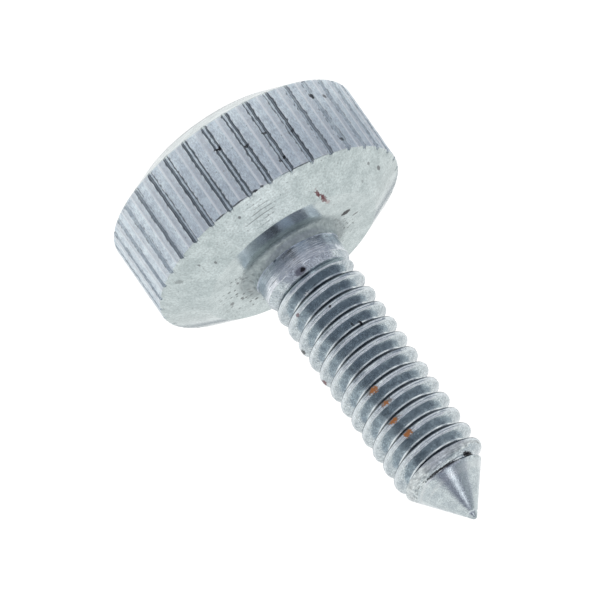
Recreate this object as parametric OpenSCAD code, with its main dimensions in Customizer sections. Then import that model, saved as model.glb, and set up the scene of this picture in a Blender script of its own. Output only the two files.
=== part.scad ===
// Thumb screw: one turned piece with a straight-knurled round head, a plain
// neck, a single-start right-hand thread and a cone point.
// It stands on the flat top face of its head, with the point up.
// The origin is the centre of that face. Lengths are in millimetres.

/* [Head] */
// Diameter over the knurled band
head_d = 18.2; // [14:0.1:24]
// Length of the knurled band along the axis
band_h = 5.65; // [3:0.05:9]
// Diameter of the flat face inside each bevel
face_d = 12.7; // [10:0.1:13.4]
// Slope of the bevels from the flat faces
bevel_angle = 30; // [15:1:45]
// Radius that eases the corner between bevel and band
edge_r = 0.2; // [0.05:0.05:0.4]

/* [Knurl] */
// Number of V grooves around the band
groove_count = 36; // [24:1:48]
// Depth of a groove below the band
groove_depth = 0.26; // [0.15:0.01:0.5]
// Width of a groove at its mouth
groove_w = 0.38; // [0.2:0.01:0.6]

/* [Neck] */
// Diameter of the plain neck under the head
neck_d = 6.14; // [6.12:0.02:7]
// Length of the neck from the head's underside
neck_l = 2; // [1.5:0.05:5]
// Radius of the fillet between neck and underside
fillet_r = 0.66; // [0.3:0.02:1]
// Height of the small step where the fillet ends
step_h = 0.07; // [0.02:0.01:0.15]

/* [Thread] */
// Outside diameter of the thread
thread_d = 6.1; // [5.8:0.02:6.1]
// Axial distance from one crest to the next
pitch = 1.27; // [1:0.01:1.5]
// Depth of the thread from crest to root
thread_depth = 0.7; // [0.5:0.01:0.78]
// Axial width of the rounded crest
crest_w = 0.32; // [0.2:0.01:0.36]
// Axial width of the root between two flanks
root_w = 0.12; // [0.08:0.01:0.2]
// Axial length over which the first turns fade into the neck
runout_l = 1.2; // [0.6:0.05:3]
// Turn of the thread's start about the axis
start_angle = 280; // [0:5:355]

/* [Point] */
// Length from the head's underside to the tip
shank_l = 22; // [16:0.1:40]
// Included angle of the cone point
point_angle = 72; // [50:1:90]
// Radius of the rounded end of the point
tip_r = 0.22; // [0.1:0.02:0.6]

/* [Hidden] */
$fn = 96;

head_r = head_d / 2;
face_r = face_d / 2;
bevel_h = (head_r - face_r) * tan(bevel_angle);
head_h = band_h + 2 * bevel_h;
neck_r = neck_d / 2;
neck_end = head_h + neck_l;
crest_r = thread_d / 2;
root_r = crest_r - thread_depth;

// The point's cone meets its round end at this radius and height
tip_z = head_h + shank_l;
tip_half = point_angle / 2;
cone_end_r = tip_r * cos(tip_half);
cone_end_z = tip_z - tip_r * (1 - sin(tip_half));
// The blank that the thread is cut from stands this far past the crests
clear_r = 0.5;
blank_r = crest_r + clear_r;

// Straight pieces in each rounded stretch of a profile
arc_steps = 6;
// How far a groove's cutter stands past what it cuts
cut_over = 0.5;

// Columns of points in one turn of the thread
turn_steps = 32;
// How far the edges of a crest fall and those of a root rise, which rounds them
crest_drop = 0.06;
root_rise = 0.03;
// Axial places where a flank leaves the crest and where it meets the root
crest_edge = crest_w / 2;
root_edge = (pitch - root_w) / 2;
// Axial place and radius of the points in one pitch, from one crest to the next
TURN = [
    [0, crest_r],
    [crest_edge, crest_r - crest_drop],
    [root_edge, root_r + root_rise],
    [pitch / 2, root_r],
    [pitch - root_edge, root_r + root_rise],
    [pitch - crest_edge, crest_r - crest_drop],
];
turn_points = len(TURN);
// The rod starts this many turns below the neck's end, and ends past the cone's base
sunk_turns = 1.25;
rod_z = neck_end - sunk_turns * pitch;
rod_turns = ceil((cone_z(root_r) - rod_z) / pitch) + 1;
rod_steps = rod_turns * turn_steps;

// Smooth step from 0 at the low value to 1 at the high one
function fade(x, low, high) =
    let (t = max(0, min(1, (x - low) / (high - low))))
    t * t * (3 - 2 * t);

// Height at which the point's cone has a given radius
function cone_z(r) = cone_end_z - (r - cone_end_r) / tan(tip_half);

// Arc of a profile about a centre, between two angles from the radial direction
function arc(centre, r, from, to) = [
    for (i = [0:arc_steps])
        let (a = from + (to - from) * i / arc_steps)
        centre + r * [cos(a), sin(a)]
];

// Point of the rod at one step around its helix, and one place across the pitch
function rod_point(step, place) =
    let (
        a = 360 * step / turn_steps,
        z = rod_z + pitch * step / turn_steps + TURN[place][0],
        r = crest_r - (crest_r - TURN[place][1]) * fade(z, neck_end, neck_end + runout_l)
    )
    [r * cos(a + start_angle), r * sin(a + start_angle), z];

// Index of a point of the rod: past the last place comes the first place a turn on
function rod_index(step, place) =
    place < turn_points
        ? step * turn_points + place
        : (step + turn_steps) * turn_points;

// Half section of the head and neck
module head_section() {
    turn = 90 - bevel_angle;
    edge_z = bevel_h + edge_r * tan(turn / 2);
    fillet_top = head_h + fillet_r;
    fillet_out = neck_r + step_h + fillet_r;
    polygon(concat(
        [[0, 0], [face_r, 0]],
        arc([head_r - edge_r, edge_z], edge_r, -turn, 0),
        arc([head_r - edge_r, head_h - edge_z], edge_r, 0, turn),
        [[face_r, head_h]],
        arc([fillet_out, fillet_top], fillet_r, 270, 180),
        [[neck_r, fillet_top], [neck_r, neck_end], [0, neck_end]]
    ));
}

// One V groove of the knurl, cut along the whole head at angle 0
module groove() {
    spread = groove_w / 2 * (groove_depth + cut_over) / groove_depth;
    translate([0, 0, -cut_over])
        linear_extrude(head_h + 2 * cut_over)
            polygon([
                [head_r - groove_depth, 0],
                [head_r + cut_over, -spread],
                [head_r + cut_over, spread],
            ]);
}

// Knurled head with the filleted neck under it
module head() {
    difference() {
        rotate_extrude() head_section();
        for (i = [0:groove_count - 1])
            rotate(360 * i / groove_count) groove();
    }
}

// Threaded rod as one closed skin that winds along the helix
module threaded_rod() {
    last = turn_points - 1;
    points = [for (step = [0:rod_steps], place = [0:last]) rod_point(step, place)];
    skin = [
        for (step = [0:rod_steps - 1], place = [0:last])
            if (place < last || step + turn_steps < rod_steps)
                let (
                    here = rod_index(step, place),
                    up = rod_index(step, place + 1),
                    on = rod_index(step + 1, place),
                    on_up = rod_index(step + 1, place + 1)
                )
                each [[here, up, on], [on, up, on_up]]
    ];
    // Edge of the skin's first turn and edge of its last, each closed to a point
    start_edge = concat(
        [for (step = [0:turn_steps]) rod_index(step, 0)],
        [for (place = [last:-1:1]) rod_index(0, place)]
    );
    end_edge = concat(
        [for (step = [rod_steps - turn_steps:rod_steps]) rod_index(step, last)],
        [for (place = [last - 1:-1:0]) rod_index(rod_steps, place)]
    );
    start_point = len(points);
    end_point = start_point + 1;
    start_fan = [
        for (i = [0:len(start_edge) - 1])
            [start_edge[i], start_edge[(i + 1) % len(start_edge)], start_point]
    ];
    end_fan = [
        for (i = [0:len(end_edge) - 1])
            [end_edge[(i + 1) % len(end_edge)], end_edge[i], end_point]
    ];
    polyhedron(
        points = concat(points, [[0, 0, head_h / 2], [0, 0, tip_z + shank_l]]),
        faces = concat(skin, start_fan, end_fan)
    );
}

// Cylinder with the cone point that bounds the threaded rod
module blank() {
    rotate_extrude()
        polygon(concat(
            [[0, 0], [blank_r, 0], [blank_r, cone_z(blank_r)]],
            arc([0, tip_z - tip_r], tip_r, tip_half, 90)
        ));
}

// The whole screw
module thumb_screw() {
    color("lightsteelblue") {
        head();
        intersection() {
            threaded_rod();
            blank();
        }
    }
}

thumb_screw();
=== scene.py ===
"""Dressed model of a thumb screw: knurled head, neck, thread and cone point.

The screw stands on the flat top face of its head, with the point up.
Lengths in the screw's classes are in millimetres, those in the studio's are
in metres unless they say otherwise. The finished mesh is in metres.
"""

import sys

import logging
import math
from dataclasses import dataclass
from enum import Enum

import bmesh
import bpy
from bmesh.types import BMEdge, BMesh, BMVert
from bpy.types import Material, Node, NodeSocket, NodeTree, Object
from mathutils import Matrix, Vector, noise


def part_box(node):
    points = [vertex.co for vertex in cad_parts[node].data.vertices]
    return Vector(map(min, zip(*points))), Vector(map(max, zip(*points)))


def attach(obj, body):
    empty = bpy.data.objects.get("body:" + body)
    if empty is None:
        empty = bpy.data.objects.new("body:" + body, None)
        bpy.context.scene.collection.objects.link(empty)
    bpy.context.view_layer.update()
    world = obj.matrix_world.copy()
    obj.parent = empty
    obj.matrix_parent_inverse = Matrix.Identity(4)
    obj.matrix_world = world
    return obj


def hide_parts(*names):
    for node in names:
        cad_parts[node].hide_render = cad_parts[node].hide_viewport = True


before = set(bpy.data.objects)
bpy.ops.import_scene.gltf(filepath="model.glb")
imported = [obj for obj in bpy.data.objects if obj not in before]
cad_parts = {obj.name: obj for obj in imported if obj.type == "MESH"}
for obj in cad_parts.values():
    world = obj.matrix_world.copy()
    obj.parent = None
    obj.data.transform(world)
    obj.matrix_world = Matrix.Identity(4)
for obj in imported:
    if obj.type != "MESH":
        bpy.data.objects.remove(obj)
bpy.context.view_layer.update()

LOG = logging.getLogger("thumb_screw")
NODE = "thumb_screw"
BODY = "root"
MM = 0.001
MERGE = 1e-4
Z_AXIS = Vector((0.0, 0.0, 1.0))
# The worn layer holds wear together with painted highlights on thread crests, thread roots and knurl ridges.
WORN_AND_HIGHLIGHT = "worn_and_highlight"
# The deep layer holds painted shade in the knurl's grooves and a painted dark reflection on the thread flank
# that faces the head.
PAINTED_SHADE = "painted_shade"
DUSTY = "dusty"

Colour = tuple[float, float, float]
Place = tuple[float, float, float]
Profile = list[tuple[float, float]]
Column = tuple[float, float, float]
Span = tuple[float, float, float, float]


def smooth_step(value: float, low: float, high: float) -> float:
    """Rises smoothly from 0 at the low value to 1 at the high one.

    Args:
        value: Number to place between the two limits.
        low: Value that gives 0.
        high: Value that gives 1.

    Returns:
        A share from 0 to 1.
    """
    share = max(0.0, min(1.0, (value - low) / (high - low)))
    return share * share * (3.0 - 2.0 * share)


def arc(centre: tuple[float, float], radius: float, start: float, end: float, steps: int) -> Profile:
    """Points of an arc in a half section.

    Args:
        centre: Radius and height of the arc's centre.
        radius: Radius of the arc.
        start: First angle from the radial direction, in degrees.
        end: Last angle, in degrees.
        steps: Straight pieces in the arc.

    Returns:
        Radius and height of each point.
    """
    angles = [math.radians(start + (end - start) * i / steps) for i in range(steps + 1)]
    return [(centre[0] + radius * math.cos(a), centre[1] + radius * math.sin(a)) for a in angles]


def rows(start: float, end: float, count: int) -> list[float]:
    """Evenly spaced heights between two ends, ends left out.

    Args:
        start: Height before the first row.
        end: Height after the last row.
        count: How many rows.

    Returns:
        The heights.
    """
    return [start + (end - start) * (i + 1) / (count + 1) for i in range(count)]


def section(mesh: BMesh, profile: Profile, turn: float = 0.0) -> list:
    """Draws a half section as a chain of edges.

    Args:
        mesh: Mesh that receives the chain.
        profile: Radius and height of each point.
        turn: Angle of the section's plane about the axis, in degrees.

    Returns:
        The chain's vertices and edges, ready to spin.
    """
    spot = Matrix.Rotation(math.radians(turn), 3, "Z")
    verts = [mesh.verts.new(spot @ Vector((r, 0.0, z))) for r, z in profile]
    edges = [mesh.edges.new(pair) for pair in zip(verts, verts[1:])]
    return verts + edges


def set_radius(vert: BMVert, radius: float) -> None:
    """Moves a vertex straight in or out.

    Args:
        vert: Vertex to move.
        radius: Distance from the axis that it gets.
    """
    old = math.hypot(vert.co.x, vert.co.y)
    if old > 1e-6:
        vert.co.x *= radius / old
        vert.co.y *= radius / old


def ripple(x: float, y: float, z: float = 0.0) -> float:
    """Smooth seeded noise from about -1 to 1."""
    return noise.noise(Vector((x, y, z)))


class Zone(Enum):
    """Part of the skin that takes one finish."""

    FACE = 0
    KNURL = 1
    NECK = 2
    THREAD = 3
    POINT = 4
    BURR = 5


@dataclass
class Head:
    """Round head with its knurl, and the filleted neck under it."""

    head_r: float = 9.1
    face_r: float = 6.35
    band_h: float = 5.65
    bevel_angle: float = 30.0
    edge_r: float = 0.2
    rim_r: float = 0.02
    neck_r: float = 3.07
    neck_l: float = 2.0
    fillet_r: float = 0.66
    step_h: float = 0.07
    groove_count: int = 36
    groove_w: float = 0.38
    groove_depth: float = 0.2
    floor_w: float = 0.17
    lip_w: float = 0.045
    lip_h: float = 0.016
    ridge_at: float = 0.7
    ridge_w: float = 0.1
    ridge_h: float = 0.022
    land_dip: float = 0.014
    sunk: float = 0.026
    torn_at: float = 212.0
    torn_reach: float = 22.0
    jag_w: float = 0.08
    jag_l: tuple[float, float] = (0.9, 0.17)
    rag_h: float = 0.03
    rag_l: float = 0.3
    slip_w: float = 0.12
    fill_share: float = 0.4
    fill_l: float = 0.6
    swell_h: float = 0.005
    dot_l: float = 0.21
    even_r: tuple[float, float] = (7.2, 8.4)
    # Where the painted groove shade is strongest, and how far round it fades, in degrees.
    shade_front_at: float = 270.0
    shade_reach: tuple[float, float] = (54.0, 31.0)

    @property
    def bevel_h(self) -> float:
        """Height of each bevel along the axis."""
        return (self.head_r - self.face_r) * math.tan(math.radians(self.bevel_angle))

    @property
    def head_h(self) -> float:
        """Height of the whole head."""
        return self.band_h + 2.0 * self.bevel_h

    @property
    def neck_end(self) -> float:
        """Height at which the thread takes over from the neck."""
        return self.head_h + self.neck_l

    @property
    def tooth_pitch(self) -> float:
        """Arc between two grooves at the band."""
        return 2.0 * math.pi * self.head_r / self.groove_count

    def bevel(self, radii: list[float], under: bool) -> Profile:
        """Points on one of the two bevels.

        Args:
            radii: Radius of each point.
            under: True for the bevel next to the neck.

        Returns:
            Radius and height of each point.
        """
        slope = math.tan(math.radians(self.bevel_angle))
        rise = [(r - self.face_r) * slope for r in radii]
        return [(r, self.head_h - h if under else h) for r, h in zip(radii, rise)]

    def half_section(self) -> Profile:
        """Outline of the head and neck, from the middle of the top face to the thread.

        Returns:
            Radius and height of each point.
        """
        turn = 90.0 - self.bevel_angle
        edge_z = self.bevel_h + self.edge_r * math.tan(math.radians(turn / 2.0))
        round_r = self.head_r - self.edge_r
        low_z = edge_z
        high_z = self.head_h - edge_z
        fillet_out = self.neck_r + self.step_h + self.fillet_r
        fillet_top = self.head_h + self.fillet_r
        flat = [(r, self.head_h) for r in (6.05, 5.6, 5.1, 4.6, 4.2)]
        return (
            [(0.0, 0.0), (3.2, 0.0), (self.face_r - self.rim_r, 0.0)]
            + self.bevel([self.face_r + self.rim_r, 7.2, 8.0, 8.55, 8.75], under=False)
            + arc((round_r, low_z), self.edge_r, -turn, 0.0, 4)
            + [(self.head_r, z) for z in rows(low_z, high_z, 33)]
            + arc((round_r, high_z), self.edge_r, 0.0, turn, 4)
            + self.bevel([8.75, 8.55, 8.1, 7.5, 6.9, self.face_r + self.rim_r], under=True)
            + [(self.face_r - self.rim_r, self.head_h)]
            + flat
            + arc((fillet_out, fillet_top), self.fillet_r, 270.0, 180.0, 6)
            + [(self.neck_r, fillet_top + 0.02)]
            + [(self.neck_r, z) for z in rows(fillet_top + 0.02, self.neck_end - 0.02, 4)]
            + [(self.neck_r, self.neck_end - 0.02), (self.neck_r - 0.012, self.neck_end)]
        )

    def tooth(self) -> list[Column]:
        """Columns round one tooth, from one groove's middle to the next.

        Returns:
            Arc from the first groove's middle, height against the land and painted groove shade, for each
            column.
        """
        pitch = self.tooth_pitch
        half = self.groove_w / 2.0
        floor = self.floor_w / 2.0
        # The third number is painted groove shade: dark walls and floor edges, lighter in the floor's middle.
        near = [
            (0.0, -self.groove_depth, 0.0),
            (floor - 0.025, -self.groove_depth + 0.004, 0.0),
            (floor, -self.groove_depth + 0.014, 1.0),
            ((floor + half) / 2.0, -self.groove_depth * 0.55, 0.5),
            (half - 0.02, -0.05, 1.0),
            (half, -0.012, 0.9),
            (half + self.lip_w * 0.6, self.lip_h, 0.0),
            (half + 2.2 * self.lip_w, 0.0, 0.0),
        ]
        land = [
            (0.47, -0.006, 0.0),
            (self.ridge_at - self.ridge_w, 0.0, 0.0),
            (self.ridge_at - 0.04, self.ridge_h, 0.0),
            (self.ridge_at + 0.04, self.ridge_h, 0.0),
            (self.ridge_at + self.ridge_w, 0.0, 0.0),
            (1.0, -self.land_dip, 0.0),
            (1.18, -self.land_dip * 0.7, 0.0),
        ]
        far = [(pitch - at, height, wall_shade) for at, height, wall_shade in reversed(near[1:])]
        return near + land + far

    def ragged(self, angle: float) -> float:
        """How torn the grooves are at an angle about the axis.

        Args:
            angle: Angle about the axis, in degrees.

        Returns:
            0 for a clean groove, up to 1 for a torn one.
        """
        torn = math.exp(-(((angle - self.torn_at) / self.torn_reach) ** 2))
        x, y = math.cos(math.radians(angle)), math.sin(math.radians(angle))
        wander = 0.5 + 0.5 * ripple(x * 2.1, y * 2.1, 4.0)
        return min(1.0, 0.42 + 0.4 * wander + 0.6 * torn)

    def build(self) -> BMesh:
        """Turns the section and cuts the knurl into it.

        Returns:
            The head and neck, open where the thread joins.
        """
        mesh = bmesh.new()
        layers = [mesh.verts.layers.float.new(name) for name in (WORN_AND_HIGHLIGHT, PAINTED_SHADE, DUSTY)]
        tooth = self.tooth()
        steps = self.groove_count * len(tooth)
        bmesh.ops.spin(
            mesh, geom=section(mesh, self.half_section()), cent=(0.0, 0.0, 0.0), axis=Z_AXIS,
            angle=2.0 * math.pi, steps=steps, use_merge=True,
        )
        bmesh.ops.remove_doubles(mesh, verts=mesh.verts, dist=MERGE)
        for vert in mesh.verts:
            radius = math.hypot(vert.co.x, vert.co.y)
            if radius < MERGE:
                continue
            count = round(math.atan2(vert.co.y, vert.co.x) / (2.0 * math.pi) * steps) % steps
            groove, column = divmod(count, len(tooth))
            self.place(vert, radius, groove, 2.0 * math.pi * count / steps, tooth[column], layers)
        return mesh

    def place(
        self, vert: BMVert, radius: float, groove: int, even: float, shape: Column, layers: list
    ) -> None:
        """Moves one vertex of the turned head to its column of the knurl.

        Args:
            vert: Vertex to move.
            radius: Radius that it was turned at.
            groove: Number of the groove before it.
            even: Angle that it was turned at, in radians.
            shape: Arc from that groove's middle, height against the land and painted groove shade.
            layers: Layers of the worn-and-highlight, the painted-shade and the dusty attribute.
        """
        across, height, wall_shade = shape
        worn_and_highlight, painted_shade, dusty = layers
        z = vert.co.z
        to_floor = min(across, self.tooth_pitch - across)
        half = self.groove_w / 2.0
        near_groove = to_floor < half + 3.0 * self.lip_w
        seed = groove + (1 if across > self.tooth_pitch / 2.0 else 0)
        angle = 360.0 * (groove + across / self.tooth_pitch) / self.groove_count
        torn = self.ragged(angle)
        slip = 0.0
        # The factors on seed and groove below only keep the noises apart
        if near_groove and to_floor > 0.02:
            side = 1.0 if across < self.tooth_pitch / 2.0 else -1.0
            long, fine = self.jag_l
            jag = 0.45 * ripple(z / long, seed * 3.7 + side, 1.0) + ripple(z / fine, seed * 5.1 + side, 2.0)
            slip = side * self.jag_w * torn * jag
            rag = ripple(z / self.rag_l, seed * 2.9 + 7.0 * across, 3.0)
            height += self.rag_h * torn * rag * smooth_step(to_floor, 0.0, half)
        elif not near_groove:
            slip = self.slip_w * ripple(groove * 1.9, 8.0)
            height *= 1.0 + 0.8 * ripple(groove * 2.3, 9.0, z / 4.0)
        if to_floor < half:
            fill = self.fill_share * torn * (0.5 + 0.5 * ripple(z / self.fill_l, seed * 1.7, 5.0))
            height *= 1.0 - fill
        height += self.swell_h * ripple(z / 1.1, angle / 2.3, 6.0)
        skin = self.head_r - self.sunk + min(height, self.sunk - 0.004)
        turn = math.radians(angle) + slip / self.head_r
        spot = even + (turn - even) * smooth_step(radius, *self.even_r)
        vert.co.x = radius * math.cos(spot)
        vert.co.y = radius * math.sin(spot)
        if radius > skin:
            set_radius(vert, skin)
            # Painted shade in the groove walls, strongest at the front of the head and fading round the
            # sides; the dark dots along the groove lips below go in the same painted-shade layer.
            far, near = self.shade_reach
            front_shade = 0.25 + 0.75 * smooth_step(-abs(angle - self.shade_front_at), -far, -near)
            vert[painted_shade] = wall_shade * front_shade * (0.75 + 0.25 * torn)
            if half < to_floor < half + self.lip_w:
                vert[painted_shade] = smooth_step(ripple(z / self.dot_l, seed * 6.3, across), 0.14, 0.28)
        # Raised parts of the lands are whitened: partly wear, partly a painted highlight along the ridges.
        if radius > self.head_r - 0.03 and to_floor > half:
            vert[worn_and_highlight] = smooth_step(height, 0.004, self.ridge_h)
            before_ridge = smooth_step(-across, -self.ridge_at, 0.1 - self.ridge_at)
            vert[dusty] = smooth_step(across, half, 0.35) * before_ridge


@dataclass
class Thread:
    """Right-hand thread, wound as one strip from the neck into the cone."""

    outer_r: float = 3.05
    pitch: float = 1.27
    depth: float = 0.7
    crest_w: float = 0.32
    runout_l: float = 0.98
    start_angle: float = 280.0
    start_z: float = 10.825
    sunk_turns: float = 1.25
    turn_steps: int = 96
    turns: int = 17
    root_w: float = 0.1
    crest_drop: float = 0.05
    crest_round: float = 0.035
    seam: float = 0.02
    taper_angle: float = 27.0
    taper_l: float = 0.46
    weld: float = 0.008
    wear_h: float = 0.03
    wear_l: tuple[float, float] = (0.7, 0.2)
    uneven_h: float = 0.014
    uneven_l: tuple[float, float] = (0.25, 0.1)
    flank_from: tuple[float, float] = (0.54, 0.55)
    flank_to: tuple[float, float] = (0.865, 0.885)

    def half_turn(self) -> Profile:
        """Rows from the middle of a crest to the middle of the root after it.

        Returns:
            Radius and axial place of each row.
        """
        root_r = self.outer_r - self.depth
        edge = self.crest_w / 2.0
        foot = (self.pitch - self.root_w) / 2.0
        start = (self.outer_r - self.crest_drop, edge + self.crest_round)
        shares = (0.05, 0.35, 0.65, 0.95)
        return (
            [(self.outer_r - self.seam, 0.0), (self.outer_r, edge * 0.35), (self.outer_r - 0.002, edge * 0.6)]
            + [(self.outer_r - self.crest_drop * 0.55, edge + self.crest_round * 0.2), start]
            + [(start[0] + (root_r - start[0]) * s, start[1] + (foot - start[1]) * s) for s in shares]
            + [(root_r, foot)]
        )

    def turn(self) -> Profile:
        """Rows of one whole pitch, from one crest to the next.

        Returns:
            Radius and axial place of each row, the last a pitch above the first.
        """
        half = self.half_turn()
        middle = [(self.outer_r - self.depth, self.pitch / 2.0)]
        return half + middle + [(r, self.pitch - at) for r, at in reversed(half)]

    def build(self, neck_r: float, point: "Point", cut: tuple[float, float]) -> BMesh:
        """Winds the thread, fades it into the neck and trims it to the cone.

        Args:
            neck_r: Radius of the neck that the first turns rise from.
            point: Cone that the last turns run into.
            cut: Heights at which the strip is cut square.

        Returns:
            The thread, open at both cuts.
        """
        mesh = bmesh.new()
        for name in (WORN_AND_HIGHLIGHT, PAINTED_SHADE, DUSTY):
            mesh.verts.layers.float.new(name)
        base = self.start_z - self.sunk_turns * self.pitch
        profile = [(r, base + at) for r, at in self.turn()]
        bmesh.ops.spin(
            mesh, geom=section(mesh, profile, self.start_angle), cent=(0.0, 0.0, 0.0), axis=Z_AXIS,
            dvec=(0.0, 0.0, self.pitch / self.turn_steps), angle=2.0 * math.pi * self.turns,
            steps=self.turn_steps * self.turns, use_merge=False,
        )
        bmesh.ops.remove_doubles(mesh, verts=mesh.verts, dist=self.weld)
        self.finish_rows(mesh, neck_r, point)
        for height, inner, outer in ((cut[0], True, False), (cut[1], False, True)):
            bmesh.ops.bisect_plane(
                mesh, geom=mesh.verts[:] + mesh.edges[:] + mesh.faces[:], dist=MERGE,
                plane_co=(0.0, 0.0, height), plane_no=Z_AXIS, clear_inner=inner, clear_outer=outer,
            )
        return mesh

    def finish_rows(self, mesh: BMesh, neck_r: float, point: "Point") -> None:
        """Sets the radius of every vertex of the strip: wear, run-out and cone; also its whitened and
        painted-shade layers.

        Args:
            mesh: The wound strip.
            neck_r: Radius of the neck.
            point: Cone that trims the last turns.
        """
        worn_and_highlight = mesh.verts.layers.float[WORN_AND_HIGHLIGHT]
        painted_shade = mesh.verts.layers.float[PAINTED_SHADE]
        root_r = self.outer_r - self.depth
        for vert in mesh.verts:
            radius = math.hypot(vert.co.x, vert.co.y)
            x, y, z = vert.co
            crest = smooth_step(radius, self.outer_r - 0.12, self.outer_r)
            for height, (level, axial) in (
                (self.wear_h * crest, self.wear_l), (self.uneven_h, self.uneven_l)
            ):
                radius += height * ripple(x / level, y / level, z / axial)
            fade = smooth_step(z, self.start_z + self.taper_l - 0.06, self.start_z + self.runout_l)
            drop = max(0.0, min(z - self.start_z, self.taper_l)) * math.tan(math.radians(self.taper_angle))
            plain = neck_r - self.uneven_h - drop
            radius = plain + (radius - plain) * fade
            limit = point.radius_at(z)
            # Crests and roots are whitened: partly wear on the crests, partly painted highlight lines along
            # crests and roots.
            at_root = smooth_step(root_r - radius, -0.04, -0.02)
            vert[worn_and_highlight] = max(0.7 * crest, at_root) * fade
            # Painted dark reflection on the flank that faces the head, left off where the cone trims the
            # turn.
            vert[painted_shade] = self.hidden_flank(vert.co) * fade if radius < limit else 0.0
            set_radius(vert, min(radius, limit))

    def hidden_flank(self, spot: Vector) -> float:
        """How far a place lies on the flank that faces the head.

        Args:
            spot: Place on the wound strip.

        Returns:
            A share from 0 to 1.
        """
        turned = (math.atan2(spot.y, spot.x) - math.radians(self.start_angle)) / (2.0 * math.pi)
        share = ((spot.z - self.start_z) / self.pitch - turned + self.sunk_turns) % 1.0
        before_end = smooth_step(-share, -self.flank_to[1], -self.flank_to[0])
        return smooth_step(share, *self.flank_from) * before_end


@dataclass
class Point:
    """Cone point with its small rounded end."""

    tip_z: float = 30.825
    tip_r: float = 0.22
    point_angle: float = 72.0
    steps: int = 96
    side_rows: tuple[float, ...] = (0.0, 0.5, 1.1, 1.6)
    nib_l: float = 0.42

    @property
    def half_angle(self) -> float:
        """Angle between the cone's side and the axis, in radians."""
        return math.radians(self.point_angle / 2.0)

    def radius_at(self, z: float) -> float:
        """Works out how wide the cone is.

        Args:
            z: Height to look at.

        Returns:
            Radius of the cone at that height.
        """
        end_r = self.tip_r * math.cos(self.half_angle)
        end_z = self.tip_z - self.tip_r * (1.0 - math.sin(self.half_angle))
        return max(end_r + (end_z - z) * math.tan(self.half_angle), 0.02)

    def build(self, base_z: float) -> BMesh:
        """Turns the plain end of the cone.

        Args:
            base_z: Height at which the cone leaves the thread.

        Returns:
            The cone, open at its base.
        """
        mesh = bmesh.new()
        for name in (WORN_AND_HIGHLIGHT, PAINTED_SHADE, DUSTY):
            mesh.verts.layers.float.new(name)
        nib_z = self.tip_z - self.nib_l
        heights = [base_z + up for up in self.side_rows] + [nib_z - 0.09]
        sides = [(self.radius_at(z), z) for z in heights]
        nib = [(self.radius_at(nib_z) - 0.03, nib_z - 0.02), (self.radius_at(nib_z) - 0.035, nib_z + 0.04)]
        after = [(self.radius_at(nib_z + 0.1), nib_z + 0.1)]
        end = arc((0.0, self.tip_z - self.tip_r), self.tip_r, math.degrees(self.half_angle), 90.0, 6)
        bmesh.ops.spin(
            mesh, geom=section(mesh, sides + nib + after + end), cent=(0.0, 0.0, 0.0), axis=Z_AXIS,
            angle=2.0 * math.pi, steps=self.steps, use_merge=True,
        )
        bmesh.ops.remove_doubles(mesh, verts=mesh.verts, dist=MERGE)
        return mesh


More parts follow.
